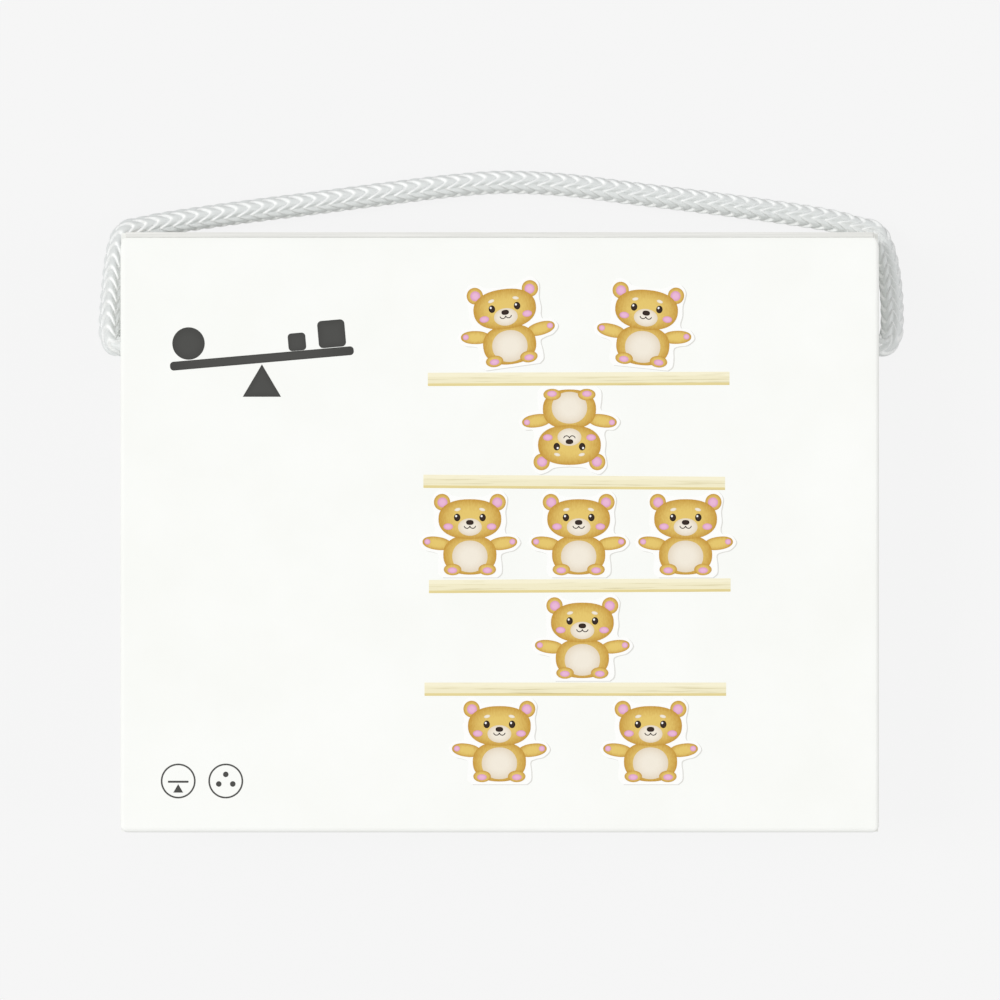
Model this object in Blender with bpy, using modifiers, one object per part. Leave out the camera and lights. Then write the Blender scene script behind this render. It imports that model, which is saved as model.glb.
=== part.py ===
"""Balance game in its carrying carton.

A folded board carton lies on its back with its printed cover up. A rope handle runs from side wall
to side wall and lies beyond the top edge. Inside are nine flat wooden figures and four planks.

Frame: metres. X runs along the carton's width, +Y towards the handle, +Z out of the cover.
The origin is under the middle of the carton, on the surface it lies on.
"""

from math import cos, pi, sin

import bmesh
import bpy
import numpy as np
from mathutils import Matrix, Vector

# Game pieces
FIGURE_WIDTH = 0.0510
FIGURE_HEIGHT = 0.0440
FIGURE_THICKNESS = 0.0200
FIGURE_COLUMNS = 3
FIGURE_ROWS = 3
PLANK_LENGTH = 0.1560
PLANK_WIDTH = 0.0200
PLANK_THICKNESS = 0.0070
PLANK_COUNT = 4
PLANK_EDGE = 0.0006

# Carton board and the room left between the packed pieces
BOARD = 0.0014
GAP = 0.0003
FIGURE_GAP_X = 0.0040
FIGURE_GAP_Y = 0.0008
PLANK_GAP = 0.0008
FLAP_ROOM = 0.0032
HEADROOM = 0.0020
BOARD_EDGE = 0.0003
FOLD_RADIUS = 0.0010

# Cover
COVER_CORNER = 0.0015
COVER_GAP = 0.0009
FLAP_LENGTH = 0.0120
FLAP_SIDE_ROOM = 0.0020
FLAP_CORNER = 0.0050
TUCK_WALL_DROP = 0.0004

# Rope and its knots
ROPE_DIAMETER = 0.0060
ROPE_HOLE_ROOM = 0.0004
ROPE_STEP = 0.0040
ROPE_STRAIGHT = 0.0006
ROPE_LIFT = 0.0002
HOLE_FROM_TOP = 0.0300
TAB_ROOM = 0.0049
KNOT_DIAMETER = 0.0150
KNOT_LENGTH = 0.0120
KNOT_TAIL = 0.0030
KNOT_ROOM = 0.0027
STUB_OUT = 0.0003

# Inside of the carton, sized to what it holds
WALL = 3 * BOARD + 2 * GAP
SIDE_ROOM = KNOT_LENGTH + KNOT_TAIL + KNOT_ROOM
TOP_ROOM = BOARD + COVER_GAP + FLAP_ROOM
GRID_WIDTH = FIGURE_COLUMNS * FIGURE_WIDTH + (FIGURE_COLUMNS - 1) * FIGURE_GAP_X
GRID_HEIGHT = FIGURE_ROWS * FIGURE_HEIGHT + (FIGURE_ROWS - 1) * FIGURE_GAP_Y
STACK_HEIGHT = PLANK_COUNT * (PLANK_THICKNESS + GAP)
INSIDE_WIDTH = max(GRID_WIDTH, PLANK_LENGTH) + 2 * SIDE_ROOM
INSIDE_HEIGHT = GAP + PLANK_WIDTH + PLANK_GAP + GRID_HEIGHT + TOP_ROOM
INSIDE_DEPTH = max(STACK_HEIGHT, FIGURE_THICKNESS + GAP) + HEADROOM

# Outside of the carton
HALF_WIDTH = INSIDE_WIDTH / 2 + WALL
HALF_HEIGHT = INSIDE_HEIGHT / 2 + BOARD
DEPTH = INSIDE_DEPTH + 2 * BOARD
FLOOR = BOARD + GAP
COVER_UNDERSIDE = DEPTH - BOARD
WALL_TOP = COVER_UNDERSIDE - GAP
ROLL_UNDERSIDE = WALL_TOP - BOARD
END_WALL_HALF = HALF_WIDTH - BOARD - GAP
COVER_END = HALF_HEIGHT - BOARD - COVER_GAP
HOLE_Y = HALF_HEIGHT - HOLE_FROM_TOP
HOLE_Z = DEPTH / 2
ROPE_HOLE_RADIUS = ROPE_DIAMETER / 2 + ROPE_HOLE_ROOM
TAB_LENGTH = HOLE_FROM_TOP - ROPE_HOLE_RADIUS - BOARD - GAP - TAB_ROOM

# The rope's route. Beside the carton each point is (out from the side wall, past the top edge, up),
# from the hole to the corner. The arch is (share of the half width, past the top edge).
LEFT_RUN = [
    (0.0036, -0.0295, 0.0169),
    (0.0048, -0.0272, 0.0163),
    (0.0051, -0.0236, 0.0150),
    (0.0051, -0.0185, 0.0127),
    (0.0050, -0.0125, 0.0099),
    (0.0047, -0.0066, 0.0074),
    (0.0040, -0.0015, 0.0054),
    (0.0022, 0.0025, 0.0042),
    (-0.0024, 0.0039, 0.0035),
]
RIGHT_RUN = [
    (0.0037, -0.0296, 0.0169),
    (0.0053, -0.0275, 0.0164),
    (0.0059, -0.0242, 0.0153),
    (0.0062, -0.0190, 0.0130),
    (0.0062, -0.0130, 0.0102),
    (0.0057, -0.0070, 0.0076),
    (0.0045, -0.0014, 0.0056),
    (0.0023, 0.0026, 0.0043),
    (-0.0024, 0.0040, 0.0035),
]
ARCH = [
    (-0.89, 0.0056),
    (-0.70, 0.0084),
    (-0.50, 0.0110),
    (-0.30, 0.0137),
    (-0.12, 0.0159),
    (0.02, 0.0168),
    (0.18, 0.0160),
    (0.36, 0.0137),
    (0.55, 0.0113),
    (0.74, 0.0087),
    (0.90, 0.0061),
]

# Right half of a figure from the foot up to the middle of the head, as shares of half the width and
# of the height: foot, hip, waist, arm, cheek, ear, crown.
FIGURE_HALF = [
    (0.540, 0.000),
    (0.625, 0.050),
    (0.630, 0.150),
    (0.615, 0.255),
    (0.720, 0.290),
    (0.880, 0.315),
    (1.000, 0.400),
    (0.890, 0.490),
    (0.735, 0.495),
    (0.690, 0.545),
    (0.715, 0.640),
    (0.700, 0.750),
    (0.725, 0.830),
    (0.730, 0.920),
    (0.600, 1.000),
    (0.435, 0.975),
    (0.300, 0.930),
    (0.000, 0.915),
]

# How finely round shapes are divided, and how near two points count as one
SMOOTH_STEPS = 3
ROPE_SMOOTH = 8
ROPE_BEVEL_STEPS = 3
ARC_STEPS = 5
TURN_STEPS = 20
WELD = 1e-6
TURN_WELD = 1e-5
CUTTER_LENGTH = 3 * WALL


def clear_scene():
    for old in list(bpy.data.objects):
        bpy.data.objects.remove(old, do_unlink=True)


def new_collection(name):
    made = bpy.data.collections.new(name)
    bpy.context.scene.collection.children.link(made)
    return made


def make_material(name, colour, roughness):
    made = bpy.data.materials.new(name)
    made.use_nodes = True
    shader = made.node_tree.nodes["Principled BSDF"]
    shader.inputs["Base Color"].default_value = (*colour, 1.0)
    shader.inputs["Roughness"].default_value = roughness
    shader.inputs["Metallic"].default_value = 0.0
    return made


clear_scene()
PARTS = new_collection("balance_game")
CUTTERS = new_collection("balance_game_cutters")
WHITE_BOARD = make_material("white_board", (0.94, 0.94, 0.92), 0.55)
BROWN_BOARD = make_material("brown_board", (0.62, 0.50, 0.36), 0.75)
ROPE_WHITE = make_material("rope_white", (0.84, 0.85, 0.86), 0.8)
PAINTED_WOOD = make_material("painted_wood", (0.92, 0.90, 0.85), 0.5)
PALE_WOOD = make_material("pale_wood", (0.84, 0.74, 0.52), 0.6)


def add_object(name, data, material, place, parent=None, collection=PARTS):
    """A new object at a world place, hung on a parent empty if one is given."""
    made = bpy.data.objects.new(name, data)
    collection.objects.link(made)
    made.location = Vector(place)
    if parent is not None:
        made.parent = parent
        made.location = Vector(place) - parent.location
    if material is not None:
        data.materials.append(material)
    return made


def joint_axis(name, place):
    """An empty that marks a joint's axis and carries what turns about it."""
    made = bpy.data.objects.new(name, None)
    PARTS.objects.link(made)
    made.location = Vector(place)
    return made


def plate(name, low, high, material, parent=None, edge=BOARD_EDGE):
    """A flat board between two corners, with its edges broken."""
    low, high = Vector(low), Vector(high)
    shape = bmesh.new()
    bmesh.ops.create_cube(shape, size=1.0)
    bmesh.ops.scale(shape, vec=high - low, verts=shape.verts)
    data = bpy.data.meshes.new(name)
    shape.to_mesh(data)
    shape.free()
    made = add_object(name, data, material, (low + high) / 2, parent)
    bevel = made.modifiers.new("edges", "BEVEL")
    bevel.width = edge
    bevel.segments = 1
    bevel.limit_method = "NONE"
    return made


def outline_plate(name, outline, thickness, material, place, parent=None):
    """A flat closed outline, drawn in the object's own XY plane and given a thickness."""
    data = bpy.data.curves.new(name, "CURVE")
    data.dimensions = "2D"
    data.fill_mode = "BOTH"
    data.extrude = thickness / 2
    spline = data.splines.new("POLY")
    spline.points.add(len(outline) - 1)
    for point, (x, y) in zip(spline.points, outline):
        point.co = (x, y, 0.0, 1.0)
    spline.use_cyclic_u = True
    return add_object(name, data, material, place, parent)


def to_mesh(made):
    """The same object as a welded mesh, so that it can be cut."""
    bpy.context.view_layer.update()
    graph = bpy.context.evaluated_depsgraph_get()
    data = bpy.data.meshes.new_from_object(made.evaluated_get(graph))
    welded = bmesh.new()
    welded.from_mesh(data)
    bmesh.ops.remove_doubles(welded, verts=welded.verts, dist=WELD)
    bmesh.ops.recalc_face_normals(welded, faces=welded.faces)
    welded.to_mesh(data)
    welded.free()
    name, world = made.name, made.matrix_world.copy()
    bpy.data.objects.remove(made, do_unlink=True)
    data.name = name
    fresh = bpy.data.objects.new(name, data)
    PARTS.objects.link(fresh)
    fresh.matrix_world = world
    return fresh


def cut(made, cutter):
    step = made.modifiers.new("cut", "BOOLEAN")
    step.operation = "DIFFERENCE"
    step.object = cutter


def arc(centre, radius, start, end):
    """Points round part of a circle, angles in quarter turns."""
    angles = [(start + (end - start) * i / ARC_STEPS) * pi / 2 for i in range(ARC_STEPS + 1)]
    return [(centre[0] + radius * cos(a), centre[1] + radius * sin(a)) for a in angles]


def rounded_outline(low, high, low_radius, high_radius):
    """A rectangle with one corner radius on its low side in Y and another on its high side."""
    (x0, y0), (x1, y1) = low, high
    points = arc((x1 - low_radius, y0 + low_radius), low_radius, -1, 0)
    points += arc((x1 - high_radius, y1 - high_radius), high_radius, 0, 1)
    points += arc((x0 + high_radius, y1 - high_radius), high_radius, 1, 2)
    points += arc((x0 + low_radius, y0 + low_radius), low_radius, 2, 3)
    return points


def smooth_line(points, steps):
    """Points on a Catmull-Rom curve through the given ones, steps to each stretch."""
    knots = np.array(points, float)
    padded = np.vstack([2 * knots[0] - knots[1], knots, 2 * knots[-1] - knots[-2]])
    share = np.arange(steps)[:, None] / steps
    made = []
    for before, start, end, after in zip(padded, padded[1:], padded[2:], padded[3:]):
        slope_start, slope_end = (end - before) / 2, (after - start) / 2
        rise = 2 * start - 2 * end + slope_start + slope_end
        turn = -3 * start + 3 * end - 2 * slope_start - slope_end
        made.append(start + share * (slope_start + share * (turn + share * rise)))
    return np.vstack(made + [knots[-1:]])


def carton_tray():
    """The folded tray: base, end walls, corner tabs and double side walls."""
    plate("base_panel", (-HALF_WIDTH, -HALF_HEIGHT, 0), (HALF_WIDTH, HALF_HEIGHT, BOARD), WHITE_BOARD)
    plate(
        "hinge_wall",
        (-END_WALL_HALF, -HALF_HEIGHT, FLOOR),
        (END_WALL_HALF, -HALF_HEIGHT + BOARD, WALL_TOP),
        WHITE_BOARD,
    )
    plate(
        "tuck_wall",
        (-END_WALL_HALF, HALF_HEIGHT - BOARD, FLOOR),
        (END_WALL_HALF, HALF_HEIGHT, DEPTH - TUCK_WALL_DROP),
        WHITE_BOARD,
    )
    for name, side in (("left", -1), ("right", 1)):
        side_wall(name, side)
        for end_name, end in (("hinge", -1), ("tuck", 1)):
            corner_tab(f"{end_name}_tab_{name}", side, end)


def span(side, near, far):
    """Low and high X of something that lies between two distances from the middle, on one side."""
    return min(side * near, side * far), max(side * near, side * far)


def corner_tab(name, side, end):
    """The end wall's tab, folded round the corner and caught between the two layers of the side wall."""
    x0, x1 = span(side, HALF_WIDTH - 2 * BOARD - GAP, END_WALL_HALF)
    y0, y1 = span(end, HALF_HEIGHT - BOARD - GAP - TAB_LENGTH, HALF_HEIGHT - BOARD - GAP)
    plate(name, (x0, y0, FLOOR), (x1, y1, ROLL_UNDERSIDE - GAP), BROWN_BOARD)


def side_wall(name, side):
    """Outer layer, and the layer that rolls over its top and down the inside; one hole through both."""
    x0, x1 = span(side, HALF_WIDTH - BOARD, HALF_WIDTH)
    outer = plate(
        f"{name}_outer_wall",
        (x0, -HALF_HEIGHT, FLOOR),
        (x1, HALF_HEIGHT, ROLL_UNDERSIDE - GAP),
        WHITE_BOARD,
    )
    leg_near = HALF_WIDTH - WALL
    leg_far = leg_near + BOARD
    profile = [(leg_near, FLOOR), (leg_far, FLOOR), (leg_far, ROLL_UNDERSIDE), (HALF_WIDTH, ROLL_UNDERSIDE)]
    profile += arc((HALF_WIDTH - FOLD_RADIUS, WALL_TOP - FOLD_RADIUS), FOLD_RADIUS, 0, 1)
    profile += arc((leg_near + FOLD_RADIUS, WALL_TOP - FOLD_RADIUS), FOLD_RADIUS, 1, 2)
    rolled = outline_plate(
        f"{name}_rolled_wall",
        [(side * x, z) for x, z in profile],
        2 * (HALF_HEIGHT - BOARD - GAP),
        WHITE_BOARD,
        (0, 0, 0),
    )
    rolled.rotation_euler = (pi / 2, 0, 0)
    rolled = to_mesh(rolled)
    hole = hole_cutter(f"{name}_hole_cutter", side)
    cut(outer, hole)
    cut(rolled, hole)


def hole_cutter(name, side):
    """A cylinder along X, longer than the wall is thick."""
    shape = bmesh.new()
    bmesh.ops.create_cone(
        shape,
        cap_ends=True,
        segments=TURN_STEPS,
        radius1=ROPE_HOLE_RADIUS,
        radius2=ROPE_HOLE_RADIUS,
        depth=CUTTER_LENGTH,
        matrix=Matrix.Rotation(pi / 2, 4, "Y"),
    )
    data = bpy.data.meshes.new(name)
    shape.to_mesh(data)
    shape.free()
    place = (side * (HALF_WIDTH - WALL / 2), HOLE_Y, HOLE_Z)
    made = add_object(name, data, None, place, collection=CUTTERS)
    made.hide_render = True
    made.display_type = "WIRE"
    return made


def cover():
    """The printed cover, hinged on the wall away from the handle, with a flap that tucks in behind."""
    hinge = joint_axis("cover_hinge_axis", (0, -HALF_HEIGHT, COVER_UNDERSIDE))
    outline = rounded_outline(
        (-HALF_WIDTH, 0), (HALF_WIDTH, COVER_END + HALF_HEIGHT), COVER_CORNER, COVER_CORNER
    )
    place = (0, -HALF_HEIGHT, DEPTH - BOARD / 2)
    outline_plate("cover_panel", outline, BOARD, WHITE_BOARD, place, hinge)
    flap_hinge = joint_axis("tuck_flap_axis", (0, COVER_END, COVER_UNDERSIDE))
    flap_half = HALF_WIDTH - WALL - FLAP_SIDE_ROOM
    flap_outline = rounded_outline(
        (-flap_half, -GAP - FLAP_LENGTH), (flap_half, -GAP), FLAP_CORNER, BOARD_EDGE
    )
    place = (0, COVER_END - BOARD / 2, COVER_UNDERSIDE)
    flap = outline_plate("cover_tuck_flap", flap_outline, BOARD, WHITE_BOARD, place, flap_hinge)
    flap.rotation_euler = (pi / 2, 0, 0)


def rope_points():
    """The free rope from hole to hole: out of the left wall, round both corners, into the right one."""
    left = [(-HALF_WIDTH - out, HALF_HEIGHT + past, up) for out, past, up in LEFT_RUN]
    right = [(HALF_WIDTH + out, HALF_HEIGHT + past, up) for out, past, up in RIGHT_RUN]
    rest = ROPE_DIAMETER / 2 + ROPE_LIFT
    arch = [(share * HALF_WIDTH, HALF_HEIGHT + past, rest) for share, past in ARCH]
    leaves = HALF_WIDTH + STUB_OUT + GAP + ROPE_STRAIGHT
    return [(-leaves, HOLE_Y, HOLE_Z)] + left + arch + right[::-1] + [(leaves, HOLE_Y, HOLE_Z)]


def evenly_spaced(line, step):
    """Points along a line, about one step apart, ends kept."""
    lengths = np.linalg.norm(np.diff(line, axis=0), axis=1)
    along = np.concatenate([[0.0], np.cumsum(lengths)])
    wanted = np.linspace(0.0, along[-1], round(along[-1] / step) + 1)
    return np.stack([np.interp(wanted, along, line[:, axis]) for axis in range(3)], axis=1)


def rope_handle():
    """The free rope, and at each end its knot inside the carton with the stub in the hole."""
    axis = joint_axis("handle_axis", (0, HOLE_Y, HOLE_Z))
    line = evenly_spaced(smooth_line(rope_points(), ROPE_SMOOTH), ROPE_STEP)
    straight = np.array([ROPE_STRAIGHT, 0.0, 0.0])
    line = np.vstack([line[0] + straight, line, line[-1] - straight])
    data = bpy.data.curves.new("handle_rope", "CURVE")
    data.dimensions = "3D"
    data.bevel_depth = ROPE_DIAMETER / 2
    data.bevel_resolution = ROPE_BEVEL_STEPS
    data.use_fill_caps = True
    spline = data.splines.new("POLY")
    spline.points.add(len(line) - 1)
    for point, place in zip(spline.points, line):
        point.co = (*(Vector(place) - axis.location), 1.0)
    add_object("handle_rope", data, ROPE_WHITE, axis.location, axis)
    for name, side in (("left", -1), ("right", 1)):
        rope_end(f"{name}_rope_end", side, axis)


def rope_end(name, side, axis):
    """Stub and knot turned about the hole's axis: up the stub, round the knot, out along the tail."""
    radius = ROPE_DIAMETER / 2
    stub_end = HALF_WIDTH + STUB_OUT
    knot_start = HALF_WIDTH - WALL - GAP
    knot_end = knot_start - KNOT_LENGTH
    middle = (knot_start + knot_end) / 2
    profile = [(0.0, stub_end), (radius, stub_end), (radius, knot_start)]
    for turn in range(1, 2 * ARC_STEPS):
        angle = pi * turn / (2 * ARC_STEPS)
        swell = radius + (KNOT_DIAMETER / 2 - radius) * sin(angle)
        profile.append((swell, middle + KNOT_LENGTH / 2 * cos(angle)))
    profile += [(radius, knot_end), (radius, knot_end - KNOT_TAIL), (0.0, knot_end - KNOT_TAIL)]
    data = bpy.data.meshes.new(name)
    edges = [(i, i + 1) for i in range(len(profile) - 1)]
    data.from_pydata([(out, 0.0, along) for out, along in profile], edges, [])
    made = add_object(name, data, ROPE_WHITE, axis.location, axis)
    made.rotation_euler = (0, side * pi / 2, 0)
    screw = made.modifiers.new("turn", "SCREW")
    screw.axis = "Z"
    screw.steps = TURN_STEPS
    screw.render_steps = TURN_STEPS
    screw.use_merge_vertices = True
    screw.merge_threshold = TURN_WELD
    screw.use_smooth_shade = True


def figure_outline():
    """Both halves of the figure, flat along the foot."""
    half = smooth_line(FIGURE_HALF, SMOOTH_STEPS)
    half = [(x * FIGURE_WIDTH / 2, y * FIGURE_HEIGHT) for x, y in half]
    mirrored = [(-x, y) for x, y in half[-2::-1]]
    return half + mirrored


def figures():
    """The figures lie face up in rows above the planks, heads towards the handle."""
    outline = figure_outline()
    first_y = -HALF_HEIGHT + BOARD + GAP + PLANK_WIDTH + PLANK_GAP
    number = 0
    for row in range(FIGURE_ROWS):
        foot = first_y + row * (FIGURE_HEIGHT + FIGURE_GAP_Y)
        for column in range(FIGURE_COLUMNS):
            number += 1
            middle = (column - (FIGURE_COLUMNS - 1) / 2) * (FIGURE_WIDTH + FIGURE_GAP_X)
            place = (middle, foot, FLOOR + FIGURE_THICKNESS / 2)
            outline_plate(f"figure_{number}", outline, FIGURE_THICKNESS, PAINTED_WOOD, place)


def planks():
    """The planks lie in one stack along the hinge wall."""
    foot = -HALF_HEIGHT + BOARD + GAP
    for level in range(PLANK_COUNT):
        bottom = FLOOR + level * (PLANK_THICKNESS + GAP)
        low = (-PLANK_LENGTH / 2, foot, bottom)
        high = (PLANK_LENGTH / 2, foot + PLANK_WIDTH, bottom + PLANK_THICKNESS)
        plate(f"plank_{level + 1}", low, high, PALE_WOOD, edge=PLANK_EDGE)


carton_tray()
cover()
rope_handle()
figures()
planks()
print(f"carton {2000 * HALF_WIDTH:.1f} x {2000 * HALF_HEIGHT:.1f} x {1000 * DEPTH:.1f} mm")
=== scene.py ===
import math

import bpy
import numpy as np
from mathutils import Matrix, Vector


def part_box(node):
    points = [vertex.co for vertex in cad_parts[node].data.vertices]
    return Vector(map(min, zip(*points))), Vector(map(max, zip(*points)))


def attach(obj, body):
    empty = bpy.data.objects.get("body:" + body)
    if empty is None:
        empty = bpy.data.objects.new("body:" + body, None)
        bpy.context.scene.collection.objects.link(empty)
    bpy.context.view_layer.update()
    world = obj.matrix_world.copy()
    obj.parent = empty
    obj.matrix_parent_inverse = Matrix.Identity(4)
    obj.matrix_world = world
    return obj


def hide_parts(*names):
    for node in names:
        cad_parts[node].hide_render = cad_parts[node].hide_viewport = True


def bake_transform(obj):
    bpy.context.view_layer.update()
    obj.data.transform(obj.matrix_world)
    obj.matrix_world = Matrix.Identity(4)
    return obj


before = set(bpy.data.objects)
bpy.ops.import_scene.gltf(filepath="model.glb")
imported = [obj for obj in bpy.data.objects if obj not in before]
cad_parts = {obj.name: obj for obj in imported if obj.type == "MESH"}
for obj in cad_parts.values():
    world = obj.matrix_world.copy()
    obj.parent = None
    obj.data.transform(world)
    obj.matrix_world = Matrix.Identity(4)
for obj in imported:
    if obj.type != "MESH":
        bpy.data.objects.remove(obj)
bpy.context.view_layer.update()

mm = 0.001


def corners(node):  # lowest and highest corner of a solid, as arrays
    low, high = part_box(node)
    return np.array(low), np.array(high)


baseLow, baseHigh = corners("base_panel")
coverLow, coverHigh = corners("cover_panel")
flapLow, flapHigh = corners("cover_tuck_flap")
halfWidth, halfHeight = baseHigh[0], baseHigh[1]
board = baseHigh[2] - baseLow[2]
coverTop = coverHigh[2]
print("frame", len(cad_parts), "nodes, carton", halfWidth * 2, halfHeight * 2, coverTop)


# Surfaces: every shape is a stack of rings, a grid of (ring, point) that is closed round each ring

def gridQuads(rows, columns, closed):
    # each quad joins neighbouring rows and neighbouring columns; columns always wrap round
    row, column = np.meshgrid(np.arange(rows if closed else rows - 1), np.arange(columns), indexing="ij")
    nextRow, nextColumn = (row + 1) % rows, (column + 1) % columns
    quads = [row * columns + column, nextRow * columns + column,
             nextRow * columns + nextColumn, row * columns + nextColumn]
    return np.stack(quads, axis=-1).reshape(-1, 4)


def looksInward(points, quads, tris):
    # six times the volume is the sum of a.(b x c) over the triangles; it is negative if they look inward
    flat = np.concatenate([quads[:, [0, 1, 2]], quads[:, [0, 2, 3]], tris])
    a, b, c = (points[flat[:, i]] for i in range(3))
    return np.sum(a * np.cross(b, c)) < 0


def ringSolid(rings, slots=0, capSlots=(0, 0), closed=False, uv=None, paintedHighlight=None, fan=True):
    # rings laid one after another; unless the stack closes on itself its ends get a fan to their middle,
    # or one flat face where the outline is too hollow
    rows, columns = rings.shape[:2]
    points = rings.reshape(-1, 3)
    quads = gridQuads(rows, columns, closed)
    quadSlots = np.broadcast_to(slots, (rows if closed else rows - 1, columns)).reshape(-1)
    uv = np.zeros((rows, columns, 2)) if uv is None else uv
    paintedHighlight = np.zeros((rows, columns)) if paintedHighlight is None else paintedHighlight
    tris, triSlots = np.zeros((0, 3), int), np.zeros(0, int)
    flatUv, flatPaintedHighlight = uv.reshape(-1, 2), paintedHighlight.reshape(-1)
    caps, capFaces = [], []
    if not closed:
        middles = np.stack([rings[0].mean(axis=0), rings[-1].mean(axis=0)])
        around = np.arange(columns)
        nextAround = (around + 1) % columns
        last = (rows - 1) * columns
        low = np.stack([nextAround, around, np.full(columns, len(points))], axis=-1)
        high = np.stack([last + around, last + nextAround, np.full(columns, len(points) + 1)], axis=-1)
        points = np.concatenate([points, middles])
        tris = np.concatenate([low, high])
        triSlots = np.repeat(capSlots, columns)
        flatUv = np.concatenate([flatUv, [uv[0].mean(axis=0) * [1, 0], uv[-1].mean(axis=0) * [1, 0]]])
        flatPaintedHighlight = np.concatenate([flatPaintedHighlight, [paintedHighlight[0].mean(), paintedHighlight[-1].mean()]])
    inward = looksInward(points, quads, tris)
    quads, tris = (quads[:, ::-1], tris[:, ::-1]) if inward else (quads, tris)
    if not closed and not fan:
        caps = [around[::-1], last + around]
        caps = [cap[::-1] if inward else cap for cap in caps]
        points, flatUv, flatPaintedHighlight = points[:-2], flatUv[:-2], flatPaintedHighlight[:-2]
        tris, triSlots, capFaces = tris[:0], triSlots[:0], list(capSlots)
    return dict(points=points, quads=quads, tris=tris, caps=caps, uv=flatUv, paintedHighlight=flatPaintedHighlight,
                quadSlots=quadSlots, triSlots=triSlots, capSlots=np.array(capFaces, int))


def addObject(name, data):
    made = bpy.data.objects.new(name, data)
    bpy.context.scene.collection.objects.link(made)
    return made


def makePiece(name, solids, materials, stands=(), sharpAngle=40):
    # several closed bodies become one mesh, with its place in its points
    starts = np.cumsum([0] + [len(s["points"]) for s in solids])
    quads = np.concatenate([s["quads"] + start for s, start in zip(solids, starts)])
    tris = np.concatenate([s["tris"] + start for s, start in zip(solids, starts)])
    points, uv, paintedHighlight = (np.concatenate([s[key] for s in solids]) for key in ("points", "uv", "paintedHighlight"))
    caps = [cap + start for s, start in zip(solids, starts) for cap in s["caps"]]
    slots = np.concatenate([s[key] for key in ("quadSlots", "triSlots", "capSlots") for s in solids])
    mesh = bpy.data.meshes.new(name)
    mesh.from_pydata(points, [], quads.tolist() + tris.tolist() + [cap.tolist() for cap in caps])
    for material in materials:
        mesh.materials.append(material)
    mesh.polygons.foreach_set("material_index", slots.astype(np.int32))
    mesh.polygons.foreach_set("use_smooth", np.ones(len(slots), bool))
    loopPoints = np.empty(len(mesh.loops), np.int32)
    mesh.loops.foreach_get("vertex_index", loopPoints)
    layer = mesh.uv_layers.new(name="surface")
    layer.data.foreach_set("uv", uv[loopPoints].astype(np.float32).ravel())
    # each point's share of the rope yarn's painted highlight, nought on all other pieces
    mesh.attributes.new("paintedHighlight", "FLOAT", "POINT").data.foreach_set("value", paintedHighlight.astype(np.float32))
    mesh.set_sharp_from_angle(angle=math.radians(sharpAngle))
    mesh.update()
    piece = addObject(name, mesh)
    if stands:
        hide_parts(*stands)
    return piece


def smoothLine(points, steps):
    # Catmull-Rom: between two points a cubic, whose slope at each of them is half the step from the point
    # before it to the point after it
    knots = np.array(points, float)
    padded = np.vstack([2 * knots[0] - knots[1], knots, 2 * knots[-1] - knots[-2]])
    before, start, end, after = (padded[i:len(padded) - 3 + i, None] for i in range(4))
    share = (np.arange(steps) / steps)[None, :, None]
    slopeStart, slopeEnd = (end - before) / 2, (after - start) / 2
    rise = 2 * start - 2 * end + slopeStart + slopeEnd
    turn = -3 * start + 3 * end - 2 * slopeStart - slopeEnd
    line = start + share * (slopeStart + share * (turn + share * rise))
    return np.vstack([line.reshape(-1, knots.shape[1]), knots[-1:]])


def lineSteps(line):  # length of each step along a line
    return np.linalg.norm(np.diff(line, axis=0), axis=1)


def unit(steps):  # each row at length 1
    return steps / np.linalg.norm(steps, axis=1, keepdims=True)


def leftNormals(steps):  # each level step turned to the left by a quarter, at length 1
    along = unit(steps)
    return np.stack([-along[:, 1], along[:, 0]], 1)


def evenLine(line, count):
    # the same line with its points at equal steps of length; gives the points and the length up to each
    along = np.concatenate([[0.0], np.cumsum(lineSteps(line))])
    wanted = np.linspace(0.0, along[-1], count)
    points = [np.interp(wanted, along, line[:, axis]) for axis in range(line.shape[1])]
    return np.stack(points, axis=1), wanted


# Materials. In each look a noise is (stretch of the three axes, scale, detail, roughness), a tone is
# (noise value, colour on screen from 0 to 255) and a bump is (depth, strength).

def linear(red, green, blue):  # a colour on screen into the shader's linear light
    share = np.array([red, green, blue]) / 255
    return (*np.where(share > 0.04045, ((share + 0.055) / 1.055) ** 2.4, share / 12.92), 1.0)


def startMaterial(name, look):
    material = bpy.data.materials.new(name)
    material.use_nodes = True
    shader = material.node_tree.nodes["Principled BSDF"]
    shader.inputs["Roughness"].default_value = look["rough"]
    shader.inputs["Specular IOR Level"].default_value = look["gloss"]
    return material, material.node_tree, shader


def addNode(tree, kind, inputs, **settings):
    made = tree.nodes.new("ShaderNode" + kind)
    for key, value in settings.items():
        setattr(made, key, value)
    for key, value in inputs.items():
        if isinstance(value, bpy.types.NodeSocket):
            tree.links.new(value, made.inputs[key])
        else:
            made.inputs[key].default_value = value
    return made.outputs


def mathNode(tree, operation, first, second=0.0):
    return addNode(tree, "Math", {0: first, 1: second}, operation=operation)[0]


def blendNoise(tree, first, second, shares):  # first * its share + second * its share
    return mathNode(tree, "ADD", mathNode(tree, "MULTIPLY", first, shares[0]),
                    mathNode(tree, "MULTIPLY", second, shares[1]))


def swayNoise(tree, noise, strength):  # noise about nought, times its strength
    return mathNode(tree, "MULTIPLY", mathNode(tree, "SUBTRACT", noise, 0.5), strength)


def rampNode(tree, share, stops):
    # a stop's colour is as on screen, or linear if it has four numbers
    made = tree.nodes.new("ShaderNodeValToRGB")
    tree.links.new(share, made.inputs[0])
    ramp = made.color_ramp
    while len(ramp.elements) < len(stops):
        ramp.elements.new(1.0)
    for element, (place, colour) in zip(ramp.elements, stops):
        element.position = place
        element.color = colour if len(colour) == 4 else linear(*colour)
    return made.outputs[0]


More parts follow.
